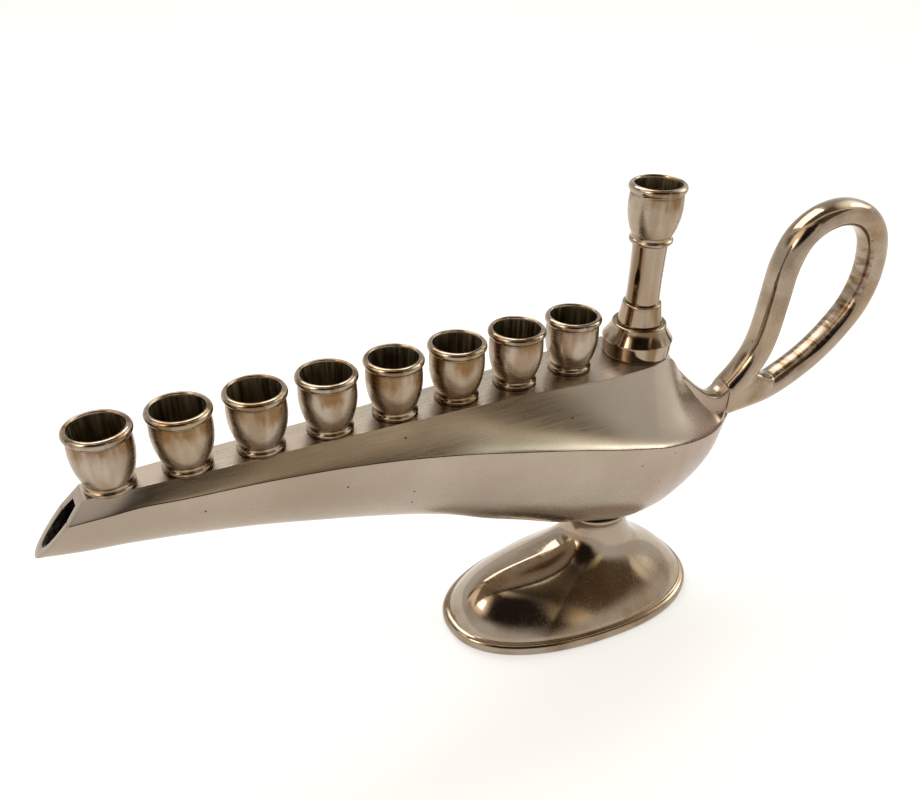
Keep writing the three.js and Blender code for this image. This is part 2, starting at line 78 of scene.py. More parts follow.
def make_camera():
    low, high = (Vector(c) for c in cad_box)
    target = Vector((low.x + VIEW_TARGET[0] * (high.x - low.x), 0, low.z + VIEW_TARGET[1] * (high.z - low.z)))
    azimuth, elevation, roll = (math.radians(a) for a in (VIEW_AZIMUTH, VIEW_ELEVATION, VIEW_ROLL))
    back = Vector((math.sin(azimuth) * math.cos(elevation), -math.cos(azimuth) * math.cos(elevation),
                   math.sin(elevation)))
    level = Vector((math.cos(azimuth), math.sin(azimuth), 0))
    up = back.cross(level)
    right = math.cos(roll) * level + math.sin(roll) * up
    top = -math.sin(roll) * level + math.cos(roll) * up
    data = bpy.data.cameras.new("camera")
    data.sensor_width = SENSOR_WIDTH
    data.lens = VIEW_LENS
    data.shift_x, data.shift_y = VIEW_SHIFT
    data.clip_start = 0.01
    camera = bpy.data.objects.new("camera", data)
    bpy.context.scene.collection.objects.link(camera)
    turn = Matrix((right, top, back)).transposed().to_4x4()
    camera.matrix_world = Matrix.Translation(target + back * VIEW_DISTANCE) @ turn
    bpy.context.scene.camera = camera


make_camera()

# ---- sizes taken from the frame ----
hull_low, hull_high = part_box("hull")
tip_x = hull_low.x
body_length = hull_high.x - hull_low.x
cup_boxes = [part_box(f"candle_cup_{i + 1}") for i in range(8)]
rail_z = cup_boxes[0][0].z
stern_face_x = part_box("handle")[0].x
stern_fraction = (stern_face_x - tip_x) / body_length
foot_low, foot_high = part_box("foot")
seat_z = foot_high.z
shamash_low, shamash_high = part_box("shamash_base")
shamash_x = (shamash_low.x + shamash_high.x) / 2
shamash_radius = (shamash_high.x - shamash_low.x) / 2
washer_low, washer_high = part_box("foot_washer")
neck_x = (washer_low.x + washer_high.x) / 2
handle_low, handle_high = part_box("handle")

wall = 2.4 * mm
# the seam gap shows the cavity's painted-shade inside, which draws the dark seam line
seam_gap = 0.3 * mm
root_height = 12.6 * mm
thinnest = 0.4 * mm
boss_radius = 3.6 * mm
shamash_boss_radius = 5.6 * mm
boss_drop = (8.9 * mm, 1 * mm)   # below the rail: the boss's lower and upper end
neck_half = (11.5 * mm, 9.6 * mm)   # half the length and width of the foot's neck and of the pad on it
cup_screw_radius = 1.5 * mm
shamash_bolt_radius = 2 * mm
hole_clearance = 0.3 * mm
handle_depth = handle_high.y - handle_low.y


# ---- small tools ----
def mix(a, b, t):
    return a + (b - a) * t


def ease(t):
    t = np.clip(t, 0, 1)
    return t * t * (3 - 2 * t)


def smooth(pairs):
    """A curve in metres through [position, value in mm] pairs, with no overshoot and flat past its ends."""
    xs, ys = np.array(pairs, float).T
    h = np.diff(xs)
    secant = np.diff(ys) / h
    slope = np.zeros(len(xs))
    slope[0], slope[-1] = secant[0], secant[-1]
    both = secant[:-1] * secant[1:]
    inner = both > 0
    slope[1:-1][inner] = 2 * both[inner] / (secant[:-1] + secant[1:])[inner]

    def curve(x):
        x = np.clip(np.asarray(x, float), xs[0], xs[-1])
        i = np.clip(np.searchsorted(xs, x, side="right") - 1, 0, len(h) - 1)
        t = (x - xs[i]) / h[i]
        value = (ys[i] * (1 + 2 * t) * (1 - t) ** 2 + ys[i + 1] * t * t * (3 - 2 * t)
                 + slope[i] * h[i] * t * (1 - t) ** 2 - slope[i + 1] * h[i] * t * t * (1 - t))
        return value * mm

    return curve


def bezier(p0, p1, p2, p3, t):
    """Points of a cubic Bezier curve, one row for each value of t."""
    t = np.asarray(t, float)[:, None]
    p0, p1, p2, p3 = (np.array(p, float) for p in (p0, p1, p2, p3))
    return p0 * (1 - t) ** 3 + 3 * p1 * t * (1 - t) ** 2 + 3 * p2 * t * t * (1 - t) + p3 * t ** 3


def catmull_rom(points, count):
    """Points evenly spaced along the centripetal Catmull-Rom curve through the given points."""
    steps = 40   # fine points between each two given ones
    p = np.array(points, float)
    p = np.vstack([2 * p[0] - p[1], p, 2 * p[-1] - p[-2]])
    knots = np.concatenate([[0], np.cumsum(np.linalg.norm(np.diff(p, axis=0), axis=1) ** 0.5)])
    fine = []
    for i in range(1, len(p) - 2):
        t = np.linspace(knots[i], knots[i + 1], steps, endpoint=i == len(p) - 3)[:, None]
        a = [((knots[j + 1] - t) * p[j] + (t - knots[j]) * p[j + 1]) / (knots[j + 1] - knots[j])
             for j in (i - 1, i, i + 1)]
        b = [((knots[j + 2] - t) * a[k] + (t - knots[j]) * a[k + 1]) / (knots[j + 2] - knots[j])
             for k, j in ((0, i - 1), (1, i))]
        fine.append(((knots[i + 1] - t) * b[0] + (t - knots[i]) * b[1]) / (knots[i + 1] - knots[i]))
    fine = np.vstack(fine)
    run = np.concatenate([[0], np.cumsum(np.linalg.norm(np.diff(fine, axis=0), axis=1))])
    wanted = np.linspace(0, run[-1], count)
    return np.stack([np.interp(wanted, run, fine[:, k]) for k in range(fine.shape[1])], 1)


def bulged(wave, power):
    """A sine or cosine raised to a power with its sign kept: below 1 it squares a round section up."""
    return np.sign(wave) * np.abs(wave) ** power


def new_piece(name, points, faces, materials, face_material=None):
    """An object with a smooth-shaded mesh; face_material gives each face's place in materials."""
    mesh = bpy.data.meshes.new(name)
    mesh.from_pydata([tuple(p) for p in points], [], faces)
    for material in materials:
        mesh.materials.append(material)
    if face_material is not None:
        mesh.polygons.foreach_set("material_index", np.array(face_material, np.int32))
    mesh.polygons.foreach_set("use_smooth", np.ones(len(mesh.polygons), bool))
    mesh.update()
    piece = bpy.data.objects.new(name, mesh)
    bpy.context.scene.collection.objects.link(piece)
    return piece


def stands_for(piece, node):
    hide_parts(node)
    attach(piece, "root")


def soften_edges(piece, width, angle, segments):
    """Rounds the edges that are sharper than the angle in degrees."""
    bevel = piece.modifiers.new("bevel", "BEVEL")
    bevel.width = width
    bevel.segments = segments
    bevel.limit_method = "ANGLE"
    bevel.angle_limit = math.radians(angle)
    bevel.harden_normals = False


def grid_faces(rows, columns, start=0, flip=False, wrap=False):
    """Quads of a rows x columns grid of points that begins at index start; wrap closes each row."""
    faces = []
    for i in range(rows - 1):
        for j in range(columns if wrap else columns - 1):
            a = start + i * columns + j
            b = start + i * columns + (j + 1) % columns
            quad = (a, b, b + columns, a + columns)
            faces.append(quad[::-1] if flip else quad)
    return faces


def closed_loft(rings):
    """Points and faces of a closed solid through rings with the same number of points each."""
    rings = np.asarray(rings, float)
    rows, columns = rings.shape[:2]
    points = [*rings.reshape(-1, 3), rings[0].mean(0), rings[-1].mean(0)]
    faces = grid_faces(rows, columns, wrap=True)
    last = (rows - 1) * columns
    for j in range(columns):
        k = (j + 1) % columns
        faces += [(k, j, rows * columns), (last + j, last + k, rows * columns + 1)]
    return points, faces


def joined(*parts):
    """Several (points, faces) pairs as one."""
    points, faces = [], []
    for more_points, more_faces in parts:
        shift = len(points)
        points += list(more_points)
        faces += [tuple(i + shift for i in face) for face in more_faces]
    return points, faces


# ---- materials ----
class Nodes:
    """A short way to write a material's node tree."""

    def __init__(self, name, metallic=1.0):
        self.material = bpy.data.materials.new(name)
        self.material.use_nodes = True
        self.tree = self.material.node_tree
        self.shader = next(n for n in self.tree.nodes if n.type == "BSDF_PRINCIPLED")
        self.shader.inputs["Metallic"].default_value = metallic
        self.coordinates = self.tree.nodes.new("ShaderNodeTexCoord")
        self.geometry = self.tree.nodes.new("ShaderNodeNewGeometry")

    def put(self, socket, value):
        if hasattr(value, "is_output"):
            self.tree.links.new(value, socket)
        else:
            socket.default_value = value

    def scaled(self, scale, place="Object"):
        """Coordinates stretched by a scale for each axis: the object's or, with place World, the frame's."""
        node = self.tree.nodes.new("ShaderNodeMapping")
        node.inputs["Scale"].default_value = scale
        source = self.geometry.outputs["Position"] if place == "World" else self.coordinates.outputs[place]
        self.tree.links.new(source, node.inputs["Vector"])
        return node.outputs["Vector"]

    def noise(self, vector, detail, distortion=0.0):
        node = self.tree.nodes.new("ShaderNodeTexNoise")
        self.tree.links.new(vector, node.inputs["Vector"])
        node.inputs["Scale"].default_value = 1.0
        node.inputs["Detail"].default_value = detail
        node.inputs["Roughness"].default_value = 0.55
        node.inputs["Distortion"].default_value = distortion
        return node.outputs["Fac"]

    def axes(self, vector):
        """The outputs X, Y and Z of a vector."""
        node = self.tree.nodes.new("ShaderNodeSeparateXYZ")
        self.tree.links.new(vector, node.inputs[0])
        return node.outputs

    def math(self, operation, a, b):
        node = self.tree.nodes.new("ShaderNodeMath")
        node.operation = operation
        self.put(node.inputs[0], a)
        self.put(node.inputs[1], b)
        return node.outputs[0]

    def ramp(self, value, low, high, to_low=0.0, to_high=1.0):
        """A smooth step from to_low to to_high as value goes from low to high."""
        node = self.tree.nodes.new("ShaderNodeMapRange")
        node.interpolation_type = "SMOOTHSTEP"
        self.put(node.inputs["Value"], value)
        for name, number in (("From Min", low), ("From Max", high), ("To Min", to_low), ("To Max", to_high)):
            node.inputs[name].default_value = number
        return node.outputs["Result"]

    def blend(self, factor, a, b):
        """Colour a where factor is 0, b where it is 1."""
        node = self.tree.nodes.new("ShaderNodeMix")
        node.data_type = "RGBA"
        self.put(node.inputs["Factor"], factor)
        self.put(node.inputs["A"], a if hasattr(a, "is_output") else (*a, 1))
        self.put(node.inputs["B"], b if hasattr(b, "is_output") else (*b, 1))
        return node.outputs["Result"]

    def pits(self, size, share):
        """1 inside small round pits, 0 elsewhere: a share of the cells of the given size has one each."""
        node = self.tree.nodes.new("ShaderNodeTexVoronoi")
        self.tree.links.new(self.scaled((1, 1, 1), "World"), node.inputs["Vector"])
        node.inputs["Scale"].default_value = 1 / size
        pit = self.ramp(node.outputs["Distance"], 0.05, 0.085, 1, 0)
        split = self.tree.nodes.new("ShaderNodeSeparateColor")
        self.tree.links.new(node.outputs["Color"], split.inputs[0])
        kept = self.math("LESS_THAN", split.outputs[0], share)
        return self.math("MULTIPLY", pit, kept)

    def bump(self, height, strength, distance):
        node = self.tree.nodes.new("ShaderNodeBump")
        self.put(node.inputs["Height"], height)
        node.inputs["Strength"].default_value = strength
        node.inputs["Distance"].default_value = distance
        return node.outputs["Normal"]

    def finish(self, colour, roughness, normal):
        self.put(self.shader.inputs["Base Color"], colour)
        self.put(self.shader.inputs["Roughness"], roughness)
        self.put(self.shader.inputs["Normal"], normal)
        return self.material


nickel = (0.365, 0.30, 0.235)
pale_nickel = (0.42, 0.355, 0.285)
warm_nickel = (0.34, 0.25, 0.165)
rosy_nickel = (0.305, 0.215, 0.155)
# brown_nickel is also the colour of the painted reflection streaks on the turned pieces
brown_nickel = (0.17, 0.10, 0.045)
brown_stain = (0.20, 0.105, 0.035)
pit_brown = (0.05, 0.035, 0.02)


def satin_casting():
    """Satin nickel on cast brass: soft blotches, fine brushing along the body and a few casting pits."""
    m = Nodes("satin_casting")
    blotch = m.noise(m.scaled((26, 26, 26), "World"), detail=5)
    patch = m.noise(m.scaled((9, 14, 18), "World"), detail=3)
    brush = m.noise(m.scaled((45, 1400, 1400), "World"), detail=3)
    grain = m.noise(m.scaled((900, 900, 900), "World"), detail=3)
    colour = m.blend(m.ramp(blotch, 0.35, 0.7), pale_nickel, nickel)
    colour = m.blend(m.ramp(patch, 0.56, 0.74, 0, 0.55), colour, rosy_nickel)
    place = m.axes(m.geometry.outputs["Position"])
    astern = m.ramp(place["X"], 0, 80 * mm)
    below = m.ramp(place["Z"], 64 * mm, 84 * mm, 1, 0)
    colour = m.blend(m.math("MULTIPLY", astern, below), colour, rosy_nickel)
    pit = m.pits(5 * mm, 0.3)
    colour = m.blend(pit, colour, pit_brown)
    roughness = m.math("ADD", m.ramp(brush, 0.3, 0.7, 0.24, 0.3), m.ramp(blotch, 0.3, 0.7, -0.03, 0.05))
    height = m.math("ADD", m.math("MULTIPLY", brush, 0.35), m.math("MULTIPLY", grain, 0.06))
    height = m.math("SUBTRACT", height, m.math("MULTIPLY", pit, 6.0))
    return m.finish(colour, roughness, m.bump(height, 0.018, 0.05 * mm))


def polished_casting():
    """Hand-polished nickel on cast brass, with a low wave left by the buffing wheel and fine hairlines."""
    m = Nodes("polished_casting")
    blotch = m.noise(m.scaled((38, 38, 38), "World"), detail=4)
    wave = m.noise(m.scaled((70, 70, 70), "World"), detail=2)
    hairline = m.noise(m.scaled((1500, 90, 1500), "World"), detail=3)
    colour = m.blend(m.ramp(blotch, 0.35, 0.7), nickel, warm_nickel)
    colour = m.blend(m.ramp(wave, 0.42, 0.75, 0, 0.6), colour, brown_nickel)
    colour = m.blend(m.ramp(hairline, 0.5, 0.7, 0, 0.4), colour, pale_nickel)
    pit = m.pits(5 * mm, 0.15)
    colour = m.blend(pit, colour, pit_brown)
    roughness = m.math("ADD", m.ramp(hairline, 0.35, 0.7, 0.07, 0.15), m.ramp(blotch, 0.3, 0.7, 0, 0.04))
    height = m.math("ADD", m.math("MULTIPLY", wave, 6.0), m.math("MULTIPLY", hairline, 0.5))
    height = m.math("SUBTRACT", height, m.math("MULTIPLY", pit, 6.0))
    return m.finish(colour, roughness, m.bump(height, 0.2, 0.05 * mm))


def filed_casting():
    """The inner face of the handle's loop: left rough from the file, with short marks across the strap."""
    m = Nodes("filed_casting")
    marks = m.noise(m.scaled((480, 75, 480), "World"), detail=5, distortion=0.5)
    lump = m.noise(m.scaled((260, 160, 260), "World"), detail=3)
    colour = m.blend(m.ramp(marks, 0.3, 0.65), brown_nickel, nickel)
    height = m.math("ADD", m.math("MULTIPLY", marks, 1.4), m.math("MULTIPLY", lump, 3.0))
    return m.finish(colour, m.ramp(marks, 0.3, 0.7, 0.16, 0.28), m.bump(height, 0.3, 0.1 * mm))


def turned_nickel(name, satin):
    """Nickel on turned brass with rings left by the lathe and upright brown streaks painted as reflections:
    satin is 1 where brushed, 0 where polished.
    """
    m = Nodes(name)
    rings = m.noise(m.scaled((60, 60, 5200)), detail=3)
    blotch = m.noise(m.scaled((60, 60, 60), "World"), detail=4)
    # upright streaks: painted reflections of the studio, strongest on the polished pieces
    streak = m.noise(m.scaled((170, 170, 8), "World"), detail=2)
    colour = m.blend(m.ramp(blotch, 0.35, 0.7), pale_nickel if satin else nickel, warm_nickel)
    # painted reflection: the brown streaks are mixed into the colour
    colour = m.blend(m.ramp(streak, 0.46, 0.6, 0, mix(0.8, 0.35, satin)), colour, brown_nickel)
    roughness = m.ramp(rings, 0.3, 0.7, mix(0.07, 0.2, satin), mix(0.14, 0.34, satin))
    return m, rings, colour, roughness


def turned_polished():
    m, rings, colour, roughness = turned_nickel("turned_polished", 0)
    return m.finish(colour, roughness, m.bump(rings, 0.05, 0.05 * mm))


def turned_satin():
    """The cup's brushed belly, with a brown stain that runs down unevenly from under the rim."""
    m, rings, colour, roughness = turned_nickel("turned_satin", 1)
    height = m.axes(m.coordinates.outputs["Object"])["Z"]
    uneven = m.noise(m.scaled((190, 190, 60), "World"), detail=3)
    level = m.math("ADD", height, m.ramp(uneven, 0.3, 0.7, -3.2 * mm, 2.6 * mm))
    stain = m.math("MULTIPLY", m.ramp(level, 10.5 * mm, 15.5 * mm), m.ramp(uneven, 0.32, 0.62, 0.15, 0.9))
    colour = m.blend(stain, colour, brown_stain)
    return m.finish(colour, roughness, m.bump(rings, 0.12, 0.05 * mm))


def cup_inside():
    """The unpolished bore: dark brown with streaks that run up and down."""
    m = Nodes("cup_inside")
    streak = m.noise(m.scaled((900, 900, 25), "World"), detail=4)
    blotch = m.noise(m.scaled((220, 220, 120), "World"), detail=3)
    colour = m.blend(m.ramp(streak, 0.35, 0.72), (0.12, 0.095, 0.055), (0.34, 0.28, 0.17))
    colour = m.blend(m.ramp(blotch, 0.45, 0.7, 0, 0.7), colour, (0.07, 0.05, 0.028))
    return m.finish(colour, m.ramp(streak, 0.3, 0.7, 0.35, 0.55), m.bump(streak, 0.25, 0.1 * mm))


def rough_inside_painted_shade():
    """The as-cast inside of the body, seen through the spout: grainy with light specks, and near black as
    painted shade of the hollow, which also shows as the dark seam line.
    """
    m = Nodes("rough_inside_painted_shade")
    grain = m.noise(m.scaled((800, 800, 800), "World"), detail=5)
    speck = m.noise(m.scaled((1700, 1700, 1700), "World"), detail=2)
    # the near-black base colour is painted shade inside the hollow
    colour = m.blend(m.ramp(grain, 0.35, 0.7), (0.03, 0.028, 0.026), (0.12, 0.10, 0.08))
    colour = m.blend(m.ramp(speck, 0.66, 0.74, 0, 0.7), colour, (0.5, 0.47, 0.44))
    return m.finish(colour, m.ramp(grain, 0.3, 0.7, 0.4, 0.65), m.bump(grain, 0.5, 0.25 * mm))


def fastener_steel():
    m = Nodes("fastener_steel")
    grain = m.noise(m.scaled((700, 700, 2400), "World"), detail=4)
    blotch = m.noise(m.scaled((120, 120, 120), "World"), detail=3)
    colour = m.blend(m.ramp(blotch, 0.35, 0.7), (0.42, 0.41, 0.40), (0.26, 0.23, 0.20))
    return m.finish(colour, m.ramp(grain, 0.3, 0.7, 0.3, 0.5), m.bump(grain, 0.2, 0.06 * mm))


satin = satin_casting()
polished = polished_casting()
turned_bright = turned_polished()
turned_brushed = turned_satin()
bore_dark = cup_inside()
cast_painted_shade = rough_inside_painted_shade()
steel = fastener_steel()
filed = filed_casting()

# ---- the body's shape along its length, as fractions of the length from the spout tip ----
rim_half_width = smooth([
    [0, 5.6], [0.05, 6.6], [0.1, 8], [0.15, 9.6], [0.23, 11.1], [0.33, 13.6], [0.41, 16.4], [0.48, 19.4],
    [0.56, 22], [0.64, 24], [0.72, 25], [0.78, 24.6], [0.84, 21.6], [0.88, 18], [0.92, 13.4], [0.955, 8.4],
    [0.98, 4], [1, 0.8],
])
rim_drop = smooth([
    [0, 5.6], [0.05, 5], [0.1, 4], [0.15, 3.8], [0.23, 4], [0.33, 4.8], [0.41, 6], [0.48, 7.6], [0.56, 11],
    [0.64, 15], [0.72, 20], [0.78, 24], [0.84, 28.2], [0.88, 31.2], [0.92, 34.2], [0.955, 36.4], [0.98, 37.4],
    [1, 38],
])
hull_depth = smooth([
    [0, 10.4], [0.05, 13], [0.1, 15.2], [0.15, 17], [0.21, 19.4], [0.33, 25.2], [0.48, 32.2], [0.55, 36.7],
    [0.6, 39], [0.68, 42.3], [0.76, 42.6], [0.83, 38.4], [0.87, 33], [0.91, 26.6], [0.945, 20.2], [0.97, 14],
    [0.99, 7], [1, 3],
])
rail_half_width = smooth([
    [0, 4], [0.06, 4.6], [0.12, 4.9], [0.16, 5.4], [0.21, 5.8], [0.3, 6.2], [0.38, 6.8], [0.46, 7.8],
    [0.56, 9], [0.62, 10.2], [0.68, 11.8], [0.74, 13], [0.79, 12.6], [0.82, 10.2], [0.84, 7.8], [0.86, 5.2],
    [0.89, 2.8], [1, 0.7],
])
crest_drop = smooth([
    [0, 0], [0.835, 0], [0.848, 2.5], [0.862, 9.5], [0.88, 14.5], [0.9, 19.4], [0.92, 24], [0.945, 29],
    [0.966, 32.6], [1, 36],
])
DECK_CAVITY_END = 0.942
HULL_CAVITY_END = 0.955
ROOT_FRACTION = 0.955   # where the rim's height sets the underside of the handle's root


def along(f):
    return tip_x + f * body_length


def fraction_at(x):
    return (x - tip_x) / body_length


def rim_z(f):
    return rail_z - rim_drop(f)


def keel_z(f):
    return rim_z(f) - hull_depth(f)


def spout_lean(f):
    return 0.95 * np.clip(1 - f / 0.2, 0, 1) ** 1.5


def leaned(f, y, z):
    """Points of the cross-section at f; the sections lean at the open spout."""
    y, z = np.broadcast_arrays(y, z)
    return np.stack([along(f) + spout_lean(f) * (z - keel_z(f)), y, z], -1)


def hull_section(f, inset):
    """The hull's outline from its right rim round the keel to its left rim, a gap below the deck."""
    t = np.linspace(0, math.pi, 57)
    half = max(thinnest, rim_half_width(f) - inset)
    depth = max(thinnest, hull_depth(f) - inset)
    y = half * bulged(np.cos(t), 0.94)
    z = rim_z(f) - depth * np.abs(np.sin(t)) ** 0.96
    z = np.minimum(z, rim_z(f) - seam_gap)
    return leaned(f, y, z)


def inner_skin(section, fractions, cavity_end, gap):
    """The section lines of a casting's inner skin: past its cavity they lie level between the two rims."""
    narrowed = 0.97
    lines = []
    for f in fractions:
        line = section(f, wall if f <= cavity_end else 0)
        if f > cavity_end:
            line[:, 1] *= narrowed
            line[:, 2] = rim_z(f) - gap
        lines.append(line)
    return lines


def shell(fractions, outside, inside, cavity_end):
    """A shell whose section is open between its two rims: outside and inside are lists of section lines.

    Its faces take material 0, and those of the cavity material 1.
    """
    outer = np.array(outside)
    inner = np.array(inside)
    rows, columns = outer.shape[:2]
    points = [*outer.reshape(-1, 3), *inner.reshape(-1, 3)]
    shift = rows * columns
    faces = grid_faces(rows, columns)
    material = [0] * len(faces)
    within = sum(1 for f in fractions if f <= cavity_end)
    inner_faces = grid_faces(rows, columns, start=shift, flip=True)
    faces += inner_faces
    material += [1 if i // (columns - 1) < within else 0 for i in range(len(inner_faces))]
    for i in range(rows - 1):
        for j, turn in ((0, False), (columns - 1, True)):
            a, b = i * columns + j, (i + 1) * columns + j
            quad = (a, b, b + shift, a + shift)
            faces.append(quad[::-1] if turn else quad)
            material.append(0)
    for i, turn in ((0, True), (rows - 1, False)):
        for j in range(columns - 1):
            a = i * columns + j
            quad = (a, a + 1, a + 1 + shift, a + shift)
            faces.append(quad[::-1] if turn else quad)
            material.append(0)
    return points, faces, material


def circle(steps):
    """Angles evenly spaced round a full turn."""
    return np.linspace(0, 2 * math.pi, steps, endpoint=False)


def oval(x, rx, ry, z, steps):
    """A level ring of points round an upright axis at x."""
    turn = circle(steps)
    return np.stack([x + rx * np.cos(turn), ry * np.sin(turn), np.full(steps, z)], 1)


def boss_mesh(x, radius):
    """A screw boss: a plain upright rod under the rail."""
    return closed_loft([oval(x, radius, radius, rail_z - drop, 32) for drop in boss_drop])


def make_hull():
    fractions = np.concatenate([np.linspace(0, 0.9, 190), np.linspace(0.9, 1, 45)[1:]])
    outside = [hull_section(f, 0) for f in fractions]
    inside = inner_skin(hull_section, fractions, HULL_CAVITY_END, seam_gap)
    points, faces, material = shell(fractions, outside, inside, HULL_CAVITY_END)
    pad = oval_pad()
    points, faces = joined((points, faces), pad)
    material += [2] * len(pad[1])
    # material 1, the cavity's inner faces, is the painted-shade inside
    hull = new_piece("hull_casting", points, faces, [satin, cast_painted_shade, polished], material)
    soften_edges(hull, 0.35 * mm, 50, 2)
    stands_for(hull, "hull")


def oval_pad():
    """The pad cast under the keel that sits on the foot's neck, with a small fillet towards the hull."""
    fillet = ((0, 0), (0, 0.1), (0.02, 0.7), (0.25, 1.6), (0.8, 2.6))   # how far out, at which height
    levels = [(out, seat_z + up * mm) for out, up in fillet]
    levels.append((0.8, keel_z(fraction_at(neck_x)) + wall))
    rx, ry = neck_half
    return closed_loft([oval(neck_x, rx + out * mm, ry + out * mm, z, 64) for out, z in levels])


# ---- deck ----
root_bottom_z = rim_z(ROOT_FRACTION)
root_top_z = root_bottom_z + root_height
spine_start_x = shamash_x + shamash_radius
# The top of the half-round spine behind the shamash, below the rail: a saddle down to the handle's root.
spine_drop = smooth([
    [0.845, 2.2], [0.867, 8.6], [0.884, 12.7], [0.9075, 18.4], [0.923, 21.5], [0.9395, 24.6], [0.956, 26.6],
    [0.9665, 26.2], [0.9766, 23.8],
])


def spine_half(x):
    t = np.clip((x - spine_start_x) / (stern_face_x - spine_start_x), 0, 1)
    return mix(2.5 * mm, handle_depth / 2, t ** 2)


def spine_height(x, y):
    """Height of the half-round spine that runs down behind the shamash and up to the handle's root."""
    top = rail_z - spine_drop(fraction_at(x))
    u = np.abs(y) / spine_half(x)
    brow = 0.99   # past this share of the half width the spine falls away steeply
    crown = top - 2.6 * mm * (1 - np.sqrt(np.clip(1 - np.minimum(u, brow) ** 2, 0, 1)))
    return crown - np.maximum(u - brow, 0) * 40 * mm


def smooth_max(a, b, radius):
    h = np.clip(0.5 + 0.5 * (a - b) / radius, 0, 1)
    return mix(b, a, h) + radius * h * (1 - h)


def deck_section(f, inset):
    """The deck's outline from its right rim over the rail to its left rim."""
    half = max(0.5 * mm, rim_half_width(f) - inset)
    rail = max(0.3 * mm, min(rail_half_width(f), rim_half_width(f) * 0.82) - inset * 0.9)
    low = rim_z(f)
    top = max(low + thinnest, rail_z - crest_drop(f) - inset)
    x = along(f)
    split = rail
    if inset == 0 and x > spine_start_x - 1 * mm:
        split = min(max(rail, spine_half(x) * 1.25), half * 0.94)
    flank = mix(half, split, np.linspace(0, 1, 45) ** 0.9)
    crown = np.linspace(split, 0, 25)[1:]
    y = np.concatenate([flank, crown])
    t = np.clip((half - y) / (half - rail), 0, 1)
    hollow = mix(1.12, 1.5, ease((f - 0.35) / 0.4))   # the flanks are more hollow astern
    z = mix(low, top, t ** hollow)
    run_in = 3 * mm
    if inset == 0 and x > spine_start_x - run_in:
        inner = y < half * 0.985
        raised = smooth_max(spine_height(np.full_like(y, x), y), z, 0.6 * mm)
        reach = ease((x - spine_start_x + run_in) / run_in)
        z = np.where(inner, mix(z, raised, reach), z)
    return leaned(f, np.concatenate([y, -y[-2::-1]]), np.concatenate([z, z[-2::-1]]))


def softened_stern(fractions, sections):
    """The sections with the turn from flank to saddle eased along the body; the rims stay in place."""
    rows = np.array(sections)
    begin, rise, fall, rounds = 0.79, 0.035, 0.03, 240
    share = ease((fractions - begin) / rise) * ease((stern_fraction - fractions) / fall)
    weight = 0.5 * share[1:-1, None, None]
    columns = rows.shape[1] - 2
    saddle = 12   # columns to each side of the middle, which are eased less
    from_middle = np.abs(np.arange(columns) - (columns - 1) / 2)
    weight = weight * mix(0.3, 1, ease((from_middle - saddle) / saddle))[None, :, None]
    for _ in range(rounds):
        middle = rows[1:-1, 1:-1]
        around = (rows[:-2, 1:-1] + rows[2:, 1:-1]) / 2
        rows[1:-1, 1:-1] = middle + weight * (around - middle)
    return rows


def make_deck():
    fractions = np.concatenate([np.linspace(0, 0.8, 150), np.linspace(0.8, stern_fraction, 110)[1:]])
    outside = softened_stern(fractions, [deck_section(f, 0) for f in fractions])
    inside = inner_skin(deck_section, fractions, DECK_CAVITY_END, 0)
    points, faces, material = shell(fractions, outside, inside, DECK_CAVITY_END)
    faces = [face[::-1] for face in faces]
    bosses = [boss_mesh((low.x + high.x) / 2, boss_radius) for low, high in cup_boxes]
    bosses.append(boss_mesh(shamash_x, shamash_boss_radius))
    points, faces = joined((points, faces), *bosses)
    # the bosses inside the cavity take the painted-shade inside too
    material += [1] * (len(faces) - len(material))
    deck = new_piece("deck_casting", points, faces, [satin, cast_painted_shade], material)
    soften_edges(deck, 0.45 * mm, 30, 3)
    stands_for(deck, "deck")


# ---- turned pieces ----
def turned(name, profile, materials, segments=112):
    """A piece turned about +Z; a profile row is (radius, height, material of the next band), in mm."""
    rows = [np.array(row[:2], float) * mm for row in profile]
    band = [row[2] for row in profile]
    points = [(r * math.cos(a), r * math.sin(a), z) for r, z in rows for a in circle(segments)]
    faces, material = [], []
    count = len(rows)
    for i in range(count):
        k = (i + 1) % count
        for j in range(segments):
            n = (j + 1) % segments
            faces.append((i * segments + j, i * segments + n, k * segments + n, k * segments + j))
            material.append(band[i])
    return new_piece(name, points, faces, materials, material)


def arc(centre_r, centre_z, radius, start, end, steps, band):
    """Profile rows along an arc, angles in degrees from +R towards +Z."""
    angles = np.radians(np.linspace(start, end, steps))
    return [(centre_r + radius * math.cos(a), centre_z + radius * math.sin(a), band) for a in angles]


def swept(controls, count, band):
    """Profile rows along a Bezier curve through four control points, without its first point."""
    return [(r, z, band) for r, z in bezier(*controls, np.linspace(0, 1, count + 1)[1:])]


